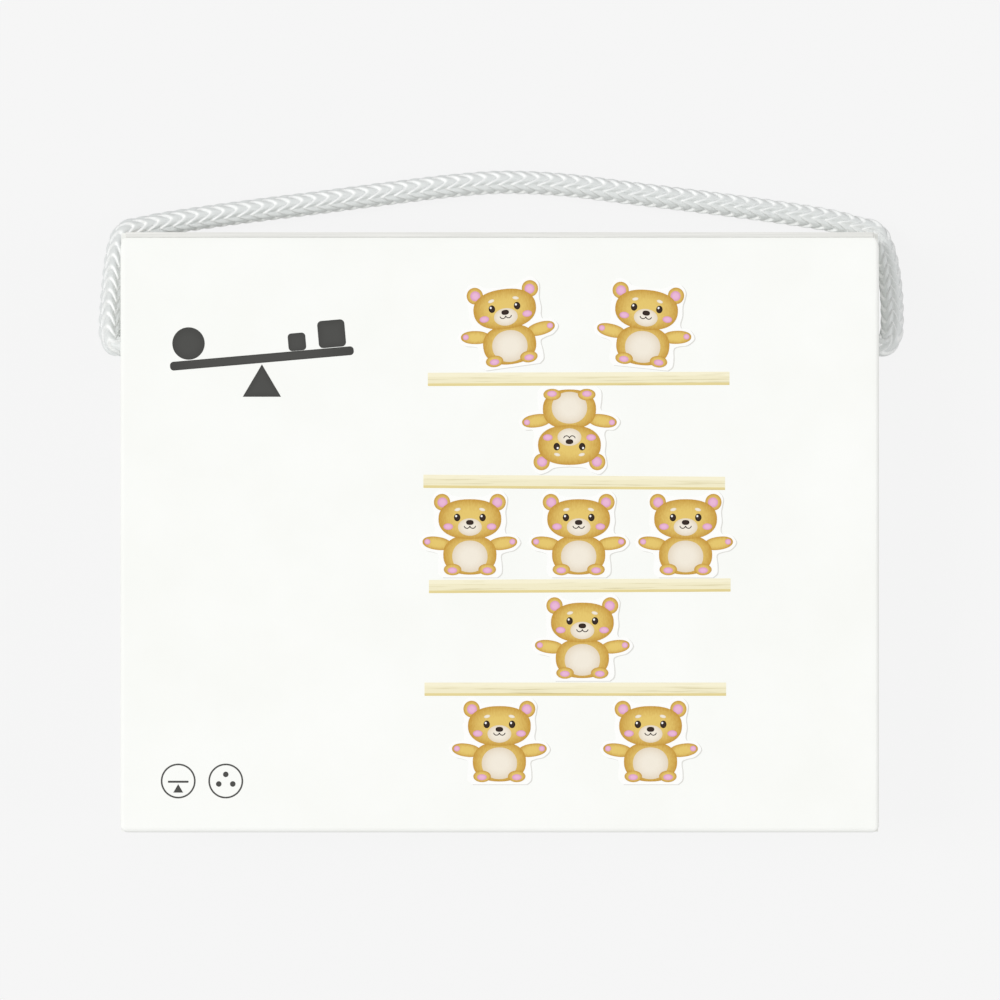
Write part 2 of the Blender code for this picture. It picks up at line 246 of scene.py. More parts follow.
def objectPlace(tree):
    return addNode(tree, "TexCoord", {})["Object"]


def surfacePlace(tree):
    return addNode(tree, "UVMap", {}, uv_map="surface")[0]


def noiseNode(tree, noise, place=None):  # on the piece's own coordinates unless a place is given
    stretch, scale, detail, roughness = noise
    place = objectPlace(tree) if place is None else place
    place = addNode(tree, "Mapping", {"Vector": place, "Scale": stretch})[0]
    values = {"Vector": place, "Scale": scale, "Detail": detail, "Roughness": roughness}
    return addNode(tree, "TexNoise", values)["Fac"]


def addTone(tree, shader, share, tones):
    tree.links.new(rampNode(tree, share, tones), shader.inputs["Base Color"])


def addBump(tree, shader, height, bump):
    values = {"Height": height, "Distance": bump[0], "Strength": bump[1]}
    tree.links.new(addNode(tree, "Bump", values)[0], shader.inputs["Normal"])


def noiseSurface(name, look):
    # the tone follows one noise, or the weighted sum of two, and the bump the same or a tooth of its own
    material, tree, shader = startMaterial(name, look)
    noises = [noiseNode(tree, noise) for noise in look["noises"]]
    tone = blendNoise(tree, *noises, look["shares"]) if "shares" in look else noises[0]
    addTone(tree, shader, tone, look["tones"])
    addBump(tree, shader, noiseNode(tree, look["tooth"]) if "tooth" in look else tone, look["bump"])
    return material


# smooth white print coat: faint cloudy tone, fine paper tooth
coatLook = dict(
    rough=0.7, gloss=0.12, noises=[((1, 1, 1), 38.0, 4.0, 0.55)], tooth=((1, 1, 1), 2600.0, 2.0, 0.55),
    tones=[(0.3, (247, 248, 244)), (0.7, (250, 251, 248))], bump=(0.02 * mm, 0.5),
)
# bare brown liner: long fibres across a mottled ground
kraftLook = dict(
    rough=0.85, gloss=0.15, noises=[((1, 1, 1), 210.0, 5.0, 0.55), ((1, 8, 8), 420.0, 4.0, 0.55)],
    shares=(0.35, 0.65), bump=(0.05 * mm, 0.6),
    tones=[(0.3, (176, 144, 106)), (0.5, (197, 165, 125)), (0.72, (209, 179, 140))],
)
# clean cut through pale board: thin layers along the edge
cutLook = dict(
    rough=0.8, gloss=0.15, noises=[((6, 900, 900), 4.0, 3.0, 0.55)], bump=(0.04 * mm, 0.5),
    tones=[(0.35, (222, 222, 218)), (0.65, (236, 236, 232))],
)
# white lacquer on wood: the grain still shows as fine soft lines
blankLook = dict(
    rough=0.4, gloss=0.4, noises=[((420, 30, 30), 1.4, 3.0, 0.55)], bump=(0.03 * mm, 0.4),
    tones=[(0.35, (238, 234, 224)), (0.6, (248, 246, 240))],
)
# tones: the paper on the wave, then painted shade in the open flutes
fluteLook = dict(
    rough=0.9, gloss=0.1, pitch=3.1 * mm, paper=0.17 * mm, swing=0.40 * mm, fade=0.4,
    tones=[(0.3, (222, 204, 176)), (0.5, (150, 124, 92)), (0.9, (92, 72, 52))], bump=(0.3 * mm, 0.8),
)


def fluteEdge(name, middle):
    # cut edge of the board along y: a paper wave between two liners; painted shade where the cut is open,
    # darker away from the paper as inside a hollow flute.
    # The wave is z = middle + swing * sin(2 pi * y / pitch), as thick as the paper.
    material, tree, shader = startMaterial(name, fluteLook)
    axes = addNode(tree, "SeparateXYZ", {0: objectPlace(tree)})
    turn = mathNode(tree, "MULTIPLY", axes["Y"], 2 * math.pi / fluteLook["pitch"])
    wave = mathNode(tree, "MULTIPLY", mathNode(tree, "SINE", turn), fluteLook["swing"])
    off = mathNode(tree, "SUBTRACT", mathNode(tree, "SUBTRACT", axes["Z"], middle), wave)
    ratio = mathNode(tree, "DIVIDE", mathNode(tree, "ABSOLUTE", off), fluteLook["paper"])
    depth = mathNode(tree, "MINIMUM", mathNode(tree, "MULTIPLY", ratio, fluteLook["fade"]), 1.0)
    # painted shade: the open flute darkens with the distance from the paper
    addTone(tree, shader, depth, fluteLook["tones"])
    addBump(tree, shader, mathNode(tree, "SUBTRACT", 1.0, depth), fluteLook["bump"])
    return material


# the yarn's tones run from the strand's body up to its painted highlight
yarnLook = dict(
    rough=0.3, gloss=0.6, sheen=0.25, sheenRough=0.4, filament=((26, 6, 1), 1.0, 2.0, 0.6), sway=0.45,
    tones=[(0.0, (226, 229, 228)), (0.3, (238, 240, 239)), (0.9, (251, 252, 251))], bump=(0.12 * mm, 0.7),
)


def braidedYarn():
    # glossy white yarn: a painted highlight along the back edge of each strand, fine filaments that run
    # along it
    material, tree, shader = startMaterial("braidedYarn", yarnLook)
    shader.inputs["Sheen Weight"].default_value = yarnLook["sheen"]
    shader.inputs["Sheen Roughness"].default_value = yarnLook["sheenRough"]
    paintedHighlight = addNode(tree, "Attribute", {}, attribute_name="paintedHighlight")["Fac"]
    filament = noiseNode(tree, yarnLook["filament"], surfacePlace(tree))
    shade = mathNode(tree, "ADD", paintedHighlight, swayNoise(tree, filament, yarnLook["sway"]))
    addTone(tree, shader, shade, yarnLook["tones"])
    addBump(tree, shader, filament, yarnLook["bump"])
    return material


woodLook = dict(
    rough=0.55, gloss=0.3, lines=((5, 150, 330), 4.0, 4.0, 0.6), pores=((60, 900, 900), 1.6, 2.0, 0.5),
    drift=((12, 60, 60), 1.2, 2.0, 0.55), shares=(0.7, 0.3), poreShare=0.8, bump=(0.06 * mm, 0.5),
    tones=[(0.28, (201, 170, 112)), (0.46, (226, 203, 150)), (0.68, (240, 224, 180))],
    poreTones=[(0.30, (0.62, 0.55, 0.45, 1)), (0.40, (1, 1, 1, 1))],
)


def paleWood():
    # sanded light wood: growth lines along the plank, short dark pores, a soft wave in the tone
    material, tree, shader = startMaterial("paleWood", woodLook)
    lines = noiseNode(tree, woodLook["lines"])
    pores = noiseNode(tree, woodLook["pores"])
    drift = noiseNode(tree, woodLook["drift"])
    grain = rampNode(tree, blendNoise(tree, lines, drift, woodLook["shares"]), woodLook["tones"])
    poreShade = rampNode(tree, pores, woodLook["poreTones"])
    layers = {6: grain, 7: poreShade, 0: woodLook["poreShare"]}
    tone = addNode(tree, "Mix", layers, data_type="RGBA", blend_type="MULTIPLY")[2]
    tree.links.new(tone, shader.inputs["Base Color"])
    addBump(tree, shader, lines, woodLook["bump"])
    return material


# an ink is (colour at a shape's rim, colour at its middle, strength of its grain, perhaps its stretch)
inkLook = dict(
    rough=0.75, gloss=0.06, hairs=(1500.0, 3.0, 0.6), stretch=(1.6, 0.6, 1.0), rimPower=2.5, middleAt=0.1,
    rimAt=1.0,
)
inkColours = dict(
    white=((243, 243, 241), (252, 252, 250), 0.1),
    edge=((206, 205, 200), (222, 221, 216), 0.2),
    tan=((196, 150, 64), (228, 198, 112), 0.7),
    cream=((226, 212, 190), (241, 233, 218), 0.35),
    pink=((214, 150, 190), (233, 184, 214), 0.3),
    dark=((38, 28, 24), (58, 46, 40), 0.3),
    grey=((72, 72, 70), (80, 80, 78), 0.15),
    woodTop=((214, 204, 164), (246, 240, 211), 2.0, (0.05, 0.9, 1.0)),
    woodFront=((190, 176, 120), (241, 234, 201), 3.0, (0.03, 1.2, 1.0)),
    woodUnder=((178, 150, 88), (228, 212, 152), 2.4, (0.03, 1.2, 1.0)),
)
inkOrder = list(inkColours)


def ink(name, rimColour, middleColour, grain, stretch=inkLook["stretch"]):
    # printed colour: deeper towards the rim of each shape, with a soft hairy grain
    material, tree, shader = startMaterial("ink" + name[0].upper() + name[1:], inkLook)
    rim = addNode(tree, "SeparateXYZ", {0: surfacePlace(tree)})["Y"]
    hairs = noiseNode(tree, (stretch, *inkLook["hairs"]))
    mixed = mathNode(tree, "ADD", mathNode(tree, "POWER", rim, inkLook["rimPower"]),
                     swayNoise(tree, hairs, grain))
    addTone(tree, shader, mixed, [(inkLook["middleAt"], middleColour), (inkLook["rimAt"], rimColour)])
    return material


def inkSlot(name):  # slot 0 is the bare blank
    return inkOrder.index(name) + 1


coat = noiseSurface("coatedBoard", coatLook)
kraft = noiseSurface("kraftInside", kraftLook)
cutEdge = noiseSurface("cutBoard", cutLook)
coverEdge = fluteEdge("coverEdge", coverTop - board / 2)
yarn = braidedYarn()
wood = paleWood()
printed = [noiseSurface("paintedBlank", blankLook)]
printed += [ink(name, *values) for name, values in inkColours.items()]
print("materials", len(bpy.data.materials))


# Camera, light and floor; a lamp is (place, size across, power)

studio = dict(
    cameraHeight=0.8, seenWidth=0.2712, sensor=36.0, aim=(0.00007, 0.00881), farEnd=50.0,
    lamps=dict(softbox=((-10.5, 1.4, 11.5), 6.0, 866.0), leftStrip=((-13.0, 0.4, 6.0), 6.0, 170.0),
               rightFill=((12.0, -1.0, 8.0), 6.0, 380.0)),
    worldLight=0.63, backdrop=(251, 251, 251), floorTone=(190, 190, 190), floorSize=12.0,
    floorDrop=0.2 * mm, shadowShare=0.1,
)


def aimedCamera():
    # straight down on the cover, so that seenWidth fills the picture
    data = bpy.data.cameras.new("camera")
    data.sensor_width = studio["sensor"]
    data.lens = studio["sensor"] * studio["cameraHeight"] / studio["seenWidth"]
    data.clip_end = studio["farEnd"]
    camera = addObject("camera", data)
    camera.location = (*studio["aim"], coverTop + studio["cameraHeight"])
    bpy.context.scene.camera = camera


def softLight(name, place, size, power):
    # a round lamp far off, turned to face the origin
    data = bpy.data.lights.new(name, "AREA")
    data.shape = "DISK"
    data.size = size
    data.energy = power
    lamp = addObject(name, data)
    lamp.location = place
    x, y, z = place
    lamp.rotation_euler = (math.atan2(math.hypot(x, y), z), 0, math.atan2(-x, y) + math.pi)


def plainBackdrop(tree):
    # whether a ray comes from the lens, a mirror or glass, and the backdrop that such a ray meets
    path = addNode(tree, "LightPath", {})
    seen = mathNode(tree, "MAXIMUM", path["Is Camera Ray"], path["Is Glossy Ray"])
    seen = mathNode(tree, "MAXIMUM", seen, path["Is Transmission Ray"])
    return seen, addNode(tree, "Emission", {"Color": linear(*studio["backdrop"]), "Strength": 1.0})[0]


def worldLight():
    # white light from all round, in front of the plain backdrop
    world = bpy.data.worlds.new("studio")
    bpy.context.scene.world = world
    world.use_nodes = True
    tree = world.node_tree
    light = tree.nodes["Background"]
    light.inputs["Color"].default_value = (1.0, 1.0, 1.0, 1.0)
    light.inputs["Strength"].default_value = studio["worldLight"]
    seen, glow = plainBackdrop(tree)
    mixed = addNode(tree, "MixShader", {0: seen, 1: light.outputs[0], 2: glow})[0]
    tree.links.new(mixed, tree.nodes["World Output"].inputs["Surface"])


def paleFloor():
    # a lit floor that keeps the shadow, thinned by a share of plain backdrop where the lens sees it
    half, level = studio["floorSize"] / 2, -studio["floorDrop"]
    mesh = bpy.data.meshes.new("floor")
    square = [(x * half, y * half, level) for x, y in ((-1, -1), (1, -1), (1, 1), (-1, 1))]
    mesh.from_pydata(square, [], [(0, 1, 2, 3)])
    material = bpy.data.materials.new("paleFloor")
    material.use_nodes = True
    tree = material.node_tree
    tree.nodes.remove(tree.nodes["Principled BSDF"])
    matt = addNode(tree, "BsdfDiffuse", {"Color": linear(*studio["floorTone"])})[0]
    seen, glow = plainBackdrop(tree)
    share = mathNode(tree, "MULTIPLY", seen, 1.0 - studio["shadowShare"])
    surface = addNode(tree, "MixShader", {0: share, 1: matt, 2: glow})[0]
    tree.links.new(surface, tree.nodes["Material Output"].inputs["Surface"])
    mesh.materials.append(material)
    addObject("floor", mesh)


aimedCamera()
for lampName, lampValues in studio["lamps"].items():
    softLight(lampName, *lampValues)
worldLight()
paleFloor()
bpy.context.scene.view_settings.view_transform = "Standard"
print("camera, light and floor")


# Rope handle: the route's points beside the carton are (out from the side wall, past the top edge, up),
# and those of the arch (share of the half width, past the top edge), all in millimetres but the share

rope = dict(
    diameter=6.0 * mm, rest=3.2 * mm, leaves=1.2 * mm, meets=0.3 * mm,
    leftRun=[(3.6, -29.5, 16.9), (4.8, -27.2, 16.3), (5.1, -23.6, 15.0), (5.1, -18.5, 12.7),
             (5.0, -12.5, 9.9), (4.7, -6.6, 7.4), (4.0, -1.5, 5.4), (2.2, 2.5, 4.2), (-2.4, 3.9, 3.5)],
    rightRun=[(3.7, -29.6, 16.9), (5.3, -27.5, 16.4), (5.9, -24.2, 15.3), (6.2, -19.0, 13.0),
              (6.2, -13.0, 10.2), (5.7, -7.0, 7.6), (4.5, -1.4, 5.6), (2.3, 2.6, 4.3), (-2.4, 4.0, 3.5)],
    arch=[(-0.89, 5.6), (-0.70, 8.4), (-0.50, 11.0), (-0.30, 13.7), (-0.12, 15.9), (0.02, 16.8),
          (0.18, 16.0), (0.36, 13.7), (0.55, 11.3), (0.74, 8.7), (0.90, 6.1)],
    stitch=3.7 * mm, columns=4, slant=1.0, relief=0.36, crest=0.26, step=0.35, fall=1.6, pointRound=0.35,
    diveStart=0.16, diveSpan=0.70, swell=1.1, shineEnd=1.45, shineFade=0.22, shineRise=0.06, shineLow=0.3,
    turn=(0.15, 0.75), ringsPerStitch=15, sides=72, spanSteps=12, pathStep=6, smoothAngle=180,
)
knot = dict(
    wrapRadius=4.7 * mm, wrapTube=2.75 * mm, turns=2.1, wrapLength=6.4 * mm, wall=4.8 * mm, tail=3.0 * mm,
    riseShare=0.14, endReach=0.35, coreTurn=(0.2, 0.2), wrapTurn=(0.2, 0.9), sides=48, coreSteps=40,
    wrapSteps=160,
)


def braidTube(line, radius, sides, turn):
    # the rope's surface over (length s, angle a). Each quarter of the way round is a column of V
    # stitches: arm runs from 0 at the V's point to 1 at the column's edge, the strand number is
    # s / stitch + slant * arm, and across its width a strand rises steeply to its crest and slopes down
    # to the step where the next one starts. A half sine along the arm dips its ends.
    count = int(lineSteps(line).sum() / rope["stitch"] * rope["ringsPerStitch"]) + 2
    centre, along = evenLine(line, count)
    tangent = unit(np.gradient(centre, axis=0))
    up = unit(np.array([0.0, 0.0, 1.0]) - tangent * tangent[:, 2:])
    side = np.cross(tangent, up)
    angle = np.linspace(0, 2 * np.pi, sides, endpoint=False)[None, :]
    twist = np.linspace(*turn, count)[:, None]
    width = 2 * np.pi / rope["columns"]
    fromPoint = np.abs((angle + twist + width / 2) % width - width / 2) / (width / 2)
    blunt = rope["pointRound"]
    arm = (np.sqrt(fromPoint ** 2 + blunt ** 2) - blunt) / (np.sqrt(1 + blunt ** 2) - blunt)
    strand = along[:, None] / rope["stitch"] + rope["slant"] * arm
    across = strand % 1.0
    crest, step = rope["crest"], rope["step"]
    back = np.clip(across / crest, 0, 1)
    front = np.clip((across - crest) / (1 - crest), 0, 1)
    crown = np.where(across < crest, step + (1 - step) * back * (2 - back),
                     1 - (1 - step) * front ** rope["fall"])
    dive = 0.5 + 0.5 * np.sin(np.pi * (rope["diveStart"] + rope["diveSpan"] * arm))
    # painted highlight: the colour is lighter along each strand's back edge, rising from the step where it
    # starts
    shine = np.clip(rope["shineEnd"] - across / rope["shineFade"], 0, 1)
    shine = shine * np.clip(across / rope["shineRise"], rope["shineLow"], 1)
    spread = radius * (rope["swell"] - rope["relief"] * (1 - crown * dive))
    ring = centre[:, None] + spread[..., None] * (
        np.cos(angle)[..., None] * up[:, None] + np.sin(angle)[..., None] * side[:, None])
    uv = np.stack([strand, np.broadcast_to(arm, strand.shape)], axis=-1)
    return ringSolid(ring, uv=uv, paintedHighlight=shine), centre


def ropeRoute():
    # from the left hole over the arch to the right one, with a short straight into each
    holeLow, holeHigh = corners("left_rope_end")
    holeY, holeZ = (holeLow + holeHigh)[1:] / 2
    left, right = ([(sign * (halfWidth + out * mm), halfHeight + past * mm, up * mm)
                    for out, past, up in rope[run]] for sign, run in ((-1, "leftRun"), (1, "rightRun")))
    arch = [(share * halfWidth, halfHeight + past * mm, rope["rest"]) for share, past in rope["arch"]]
    leaves = halfWidth + rope["leaves"]
    ends = [(-leaves, holeY, holeZ), (leaves, holeY, holeZ)]
    line = smoothLine([ends[0]] + left + arch + right[::-1] + [ends[1]], rope["spanSteps"])
    inward = np.array([rope["leaves"] - rope["meets"], 0, 0])
    return np.vstack([line[0] + inward, line, line[-1] - inward])


def ropeEnd(name, node, sideSign):
    # the stretch through the wall with its tail, and the knot's wrap: a helix that closes in at its ends
    low, high = corners(node)
    axisY, axisZ = (low + high)[1:] / 2
    outer = halfWidth + rope["meets"]
    inner = min(abs(low[0]), abs(high[0]))
    core = np.linspace([sideSign * outer, axisY, axisZ], [sideSign * inner, axisY, axisZ],
                       knot["coreSteps"])
    share = np.linspace(0, 1, knot["wrapSteps"])
    turn = 2 * np.pi * knot["turns"] * share
    rise = np.clip(np.minimum(share, 1 - share) / knot["riseShare"], 0, 1)
    reach = knot["endReach"] + (1 - knot["endReach"]) * rise * rise * (3 - 2 * rise)
    reach = reach * knot["wrapRadius"]
    wrapMiddle = (halfWidth - knot["wall"] + inner + knot["tail"]) / 2
    place = sideSign * (wrapMiddle + knot["wrapLength"] * (0.5 - share))
    wrap = np.stack([place, axisY + reach * np.cos(turn), axisZ + reach * np.sin(turn)], axis=1)
    coreTube = braidTube(core, rope["diameter"] / 2, knot["sides"], knot["coreTurn"])[0]
    wrapTube = braidTube(wrap, knot["wrapTube"], knot["sides"], knot["wrapTurn"])[0]
    piece = makePiece(name, [coreTube, wrapTube], [yarn], [node], rope["smoothAngle"])
    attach(piece, "handle")
    return piece


def ropeHandle():
    solid, centre = braidTube(ropeRoute(), rope["diameter"] / 2, rope["sides"], rope["turn"])
    piece = makePiece("braidedRope", [solid], [yarn], ["handle_rope"], rope["smoothAngle"])
    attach(piece, "handle")
    ends = [ropeEnd("leftKnot", "left_rope_end", -1), ropeEnd("rightKnot", "right_rope_end", 1)]


ropeHandle()


# Carton: each panel is board with rounded folds and crisp cut edges. A panel is laid out flat as (u, v),
# with its outer face at depth 0 and its inner face at the board's thickness. The first four values are
# the radii of the kinds of edge. A knot of the tuck fold is (share of the bulge outward or of the bend
# inward, share of the bend downward).

carton = dict(
    fold=1.3 * mm, cut=0.15 * mm, join=0.0, pressed=1.25 * mm, inner=0.1 * mm, hold=0.7 * mm,
    corner=0.6 * mm, leastCorner=0.02 * mm, flapCorner=5.0 * mm, hole=3.4 * mm, holeRim=1.3,
    crease=1.7 * mm, reach=1.2 * mm, bulge=0.88 * mm, open=0.9, shoulder=0.35,
    innerFrom=0.9, cutFrom=0.8, creaseInnerFrom=0.95, stepFrom=0.05, flapDrop=1.6,
    outerKnots=[(0.45, 1.3), (0.9, 0.68), (1.0, 0.36), (0.6, 0.23), (0.0, 0.13)],
    easeKnot=(0.5, 0.05), innerKnots=[(0.0, 0.3), (0.05, 0.06)],
    rowShares=[0, 0.02, 0.06, 0.13, 0.24, 0.4, 0.6, 0.8, 0.93, 0.98, 1.0],
    cornerSteps=8, tuckSteps=31, foldSteps=5, bendSteps=13, straightSteps=5,
)
outerSlot, innerSlot, cutSlot = 0, 1, 2


def panelRings(low, high, inset, corner):
    # round-cornered rectangles, one for each row of inset (right, top, left, bottom) and of corner radii
    # (lower right, upper right, upper left, lower left), counter-clockwise
    angle = np.radians(np.linspace(-90, 0, carton["cornerSteps"]) + np.array([[0], [90], [180], [270]]))
    right, top = high[0] - inset[:, 0], high[1] - inset[:, 1]
    left, bottom = low[0] + inset[:, 2], low[1] + inset[:, 3]
    middle = np.stack([np.stack([right, right, left, left], 1) + corner * [-1, -1, 1, 1],
                       np.stack([bottom, top, top, bottom], 1) + corner * [1, -1, -1, 1]], -1)
    turn = np.stack([np.cos(angle), np.sin(angle)], -1)
    return (middle[:, :, None] + corner[:, :, None, None] * turn).reshape(len(inset), -1, 2)


def roundedBar(low, high, corner):  # the outline of one such rectangle
    return panelRings(low, high, np.zeros((1, 4)), np.full((1, 4), corner))[0]


def edgeInset(depth, radius):
    # a quarter circle: at a depth below its radius the edge stands back by r - sqrt(r^2 - (r - depth)^2)
    left = np.clip(radius - depth, 0, radius)
    return radius - np.sqrt(np.maximum(radius ** 2 - left ** 2, 0))


def edgeRows(radius, inner):
    # depths from the outer to the inner face, and how far each edge stands back there; the first and last
    # row lie further in on the flat faces and keep them flat
    depth = board * np.array(carton["rowShares"])
    inset = np.maximum(edgeInset(depth[:, None], radius),
                       edgeInset(board - depth[:, None], np.where(radius > 0, inner, 0)))
    depth = np.concatenate([depth[:1], depth, depth[-1:]])
    return depth, np.concatenate([inset[:1] + carton["hold"], inset, inset[-1:] + carton["hold"]])


def boardPanel(place, low, high, edges, hole=None, inner=carton["inner"], paleRim=False,
               corner=carton["corner"]):
    # rings from the outer face over the edges to the inner face; a hole closes the stack through the
    # board, and a pale rim carries the cut edge's finish over onto the inner face
    radius = np.array([carton[kind] for kind in edges])
    joined = radius == 0
    depth, inset = edgeRows(radius, inner)
    corner = np.where(joined | np.roll(joined, 1), 0, corner)
    corner = np.maximum(corner - inset.min(axis=1, keepdims=True), carton["leastCorner"])
    flat = panelRings(low, high, inset, corner)
    # a corner is cut open only where both of its edges are
    steps = carton["cornerSteps"]
    raw = np.array([kind in ("cut", "pressed") for kind in edges])
    columnRaw = np.stack([np.roll(raw, 1) & raw] * (steps - 1) + [raw], axis=1).reshape(-1)
    columnRadius = np.repeat(radius, steps)
    middleDepth = ((depth[1:] + depth[:-1]) / 2)[:, None]
    innerFrom = carton["innerFrom"] * board
    cutEnd = np.inf if paleRim else innerFrom
    cutFace = columnRaw & (middleDepth > carton["cutFrom"] * columnRadius) & (middleDepth < cutEnd)
    slots = np.where(cutFace, cutSlot, np.where(middleDepth > innerFrom, innerSlot, outerSlot))
    if hole is None:
        return ringSolid(place(flat, depth[:, None]), slots, (outerSlot, innerSlot))
    centre, reach = np.array(hole[:2]), hole[2]
    away = unit(flat[0] - centre)
    rimSizes = np.array([carton["holeRim"], 1.0, 1.0, carton["holeRim"]])[:, None, None]
    flat = np.concatenate([flat, centre + away * reach * rimSizes])
    depth = np.concatenate([depth, [board, board, 0.0, 0.0]])
    rimSlots = np.array([innerSlot, innerSlot, cutSlot, outerSlot, outerSlot])[:, None]
    slots = np.concatenate([slots, np.repeat(rimSlots, 4 * steps, axis=1)])
    return ringSolid(place(flat, depth[:, None]), slots, closed=True)


def boardAt(axis, outer, inward):
    # a board square to an axis, its outer face at outer; u and v are the other two axes in their order
    def place(flat, depth):
        axes = [flat[..., 0], flat[..., 1]]
        axes.insert(axis, np.broadcast_to(outer + inward * depth, flat.shape[:-1]))
        return np.stack(axes, -1)
    return place


def creaseStrip(outer, inner, half, press):
    # bent board between two lines in (y, z), its outer and its inner face; a point at some depth divides
    # the step from one to the other. Both ends, at plus and minus half, go from a closed square edge
    # where press is 0 to one pressed round and cut open, like the cover's sides, where it is 1.
    depth, inset = edgeRows(carton["cut"] + press * (carton["pressed"] - carton["cut"]), carton["inner"])
    x = half[:, None] - inset.T
    x = np.concatenate([x, -x[:, ::-1]], 1)
    depth = np.concatenate([depth, depth[::-1]])
    flat = outer[:, None] + (depth / board)[:, None] * (inner - outer)[:, None]
    rings = np.concatenate([x[..., None], flat], -1)
    middleDepth = (depth + np.roll(depth, -1)) / 2
    cutFace = (middleDepth > carton["cutFrom"] * carton["pressed"]) & (press[1:, None] > carton["open"])
    # where the strip widens in one step its edge is bare board
    stepEdge = (middleDepth > carton["stepFrom"] * board) & (np.diff(half)[:, None] > board)
    bare = (middleDepth > carton["creaseInnerFrom"] * board) | stepEdge
    slots = np.where(bare, innerSlot, np.where(cutFace, cutSlot, outerSlot))
    return ringSolid(rings, slots, (outerSlot, cutSlot), fan=False)


def refinish(node, material):
    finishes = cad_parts[node].data.materials
    finishes.clear()
    finishes.append(material)


def buildCarton():
    hingeLow, hingeHigh = corners("hinge_wall")
    tuckHigh = corners("tuck_wall")[1]
    boards = [coat, kraft, kraft]
    base = boardPanel(boardAt(2, baseLow[2], 1), baseLow[:2], baseHigh[:2], ["fold"] * 4)
    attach(makePiece("basePanel", [base], boards, ["base_panel"]), "base")
    hingeTop = coverTop - carton["crease"] - carton["reach"]
    hinge = boardPanel(boardAt(1, hingeLow[1], 1), (hingeLow[0], board), (hingeHigh[0], hingeTop),
                       ["cut", "join", "cut", "join"])
    tuck = boardPanel(boardAt(1, tuckHigh[1], -1), (board - halfWidth, board),
                      (halfWidth - board, tuckHigh[2]), ["cut", "cut", "cut", "join"],
                      inner=carton["cut"], paleRim=True)
    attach(makePiece("hingeWall", [hinge], boards, ["hinge_wall"]), "base")
    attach(makePiece("tuckWall", [tuck], [coat, kraft, cutEdge], ["tuck_wall"]), "base")
    for side, sign in (("left", -1), ("right", 1)):
        node = side + "_outer_wall"
        low, high = corners(node)
        wallTop = corners(side + "_rolled_wall")[1][2] - board
        endLow, endHigh = corners(side + "_rope_end")
        hole = (*(endLow + endHigh)[1:] / 2, carton["hole"])
        wall = boardPanel(boardAt(0, sign * halfWidth, -sign), (low[1], board), (high[1], wallTop),
                          ["cut", "join", "cut", "join"], hole=hole)
        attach(makePiece(side + "OuterWall", [wall], boards, [node]), "base")
        refinish(side + "_rolled_wall", coat)
    for node in ("hinge_tab_left", "hinge_tab_right", "tuck_tab_left", "tuck_tab_right"):
        refinish(node, kraft)
    print("carton tray")


def buildCover():
    bend, reach = carton["crease"], carton["reach"]
    boards = [coat, kraft, coverEdge]
    hingeY, tuckY = -halfHeight + bend, coverHigh[1] - bend
    cover = boardPanel(boardAt(2, coverTop, -1), (coverLow[0], hingeY + reach), (coverHigh[0], tuckY),
                       ["pressed", "join", "pressed", "join"])
    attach(makePiece("coverPanel", [cover], boards, ["cover_panel"]), "cover")
    flapTop = coverTop - carton["flapDrop"] * bend
    flap = boardPanel(boardAt(1, flapHigh[1], -1), (flapLow[0], flapLow[2]), (flapHigh[0], flapTop),
                      ["cut", "join", "cut", "cut"], corner=carton["flapCorner"])
    flapPiece = makePiece("tuckFlap", [flap], [coat, kraft, kraft], ["cover_tuck_flap"])
    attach(flapPiece, "tuck_flap")
    # hinge: a quarter turn between two short straights; the half width grows as the sine of the turn,
    # which rounds the corner from above. It bends from the wall's inner face to the cover's.
    straights, bends = carton["straightSteps"], carton["bendSteps"]
    turn = np.concatenate([np.zeros(straights), np.linspace(0, np.pi / 2, bends),
                           np.full(straights, np.pi / 2)])
    lead = np.linspace(reach, 0, straights + 1)[:-1]
    straight = np.concatenate([lead, np.zeros(bends), lead[::-1]])[:, None]
    quarter = np.stack([-np.cos(turn), np.sin(turn)], 1)
    heading = np.where(turn[:, None] < np.pi / 4, [0, -1], [1, 0])
    centre = np.array([hingeY, coverTop - bend]) + straight * heading
    wallHalf = corners("hinge_wall")[1][0]
    crease = creaseStrip(centre + bend * quarter, centre + (bend - board) * quarter,
                         wallHalf + (halfWidth - wallHalf) * np.sin(turn), np.sin(turn))
    hingeCrease = makePiece("hingeCrease", [crease], boards)
    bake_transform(hingeCrease)
    # tuck fold: the outer line swells to the tuck wall; below the shoulder it is as wide as the flap
    fold, coverInner = flapHigh[1], coverTop - board
    easeBack, easeDrop = carton["easeKnot"]
    outer = [(fold, flapTop)]
    outer += [(fold + out * carton["bulge"], coverTop - drop * bend) for out, drop in carton["outerKnots"]]
    outer += [(fold - easeBack * bend, coverTop - easeDrop * bend), (tuckY, coverTop)]
    inner = [(fold - board, flapTop)]
    inner += [(fold - board - back * bend, coverInner - drop * bend)
              for back, drop in carton["innerKnots"]]
    inner.append((tuckY, coverInner))
    outer, inner = (evenLine(smoothLine(line, carton["foldSteps"]), carton["tuckSteps"])[0]
                    for line in (outer, inner))
    share = np.linspace(0, 1, carton["tuckSteps"])
    press = np.where(share < carton["shoulder"], 0, np.sin(share * np.pi / 2))
    half = np.where(share < carton["shoulder"], flapHigh[0], halfWidth - bend + bend * press)
    flapCrease = makePiece("flapCrease", [creaseStrip(outer, inner, half, press)], boards)
    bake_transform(flapCrease)
    print("cover")


buildCarton()
buildCover()


# Drawing: every printed shape is a thin pad, rings that shrink from its outline to its middle. Shapes are
# in millimetres on a figure that stands on its feet at (0, 0). The outline's points are shares of half
# its width and of its height, and faceInset is a share of a blank's edge radius.

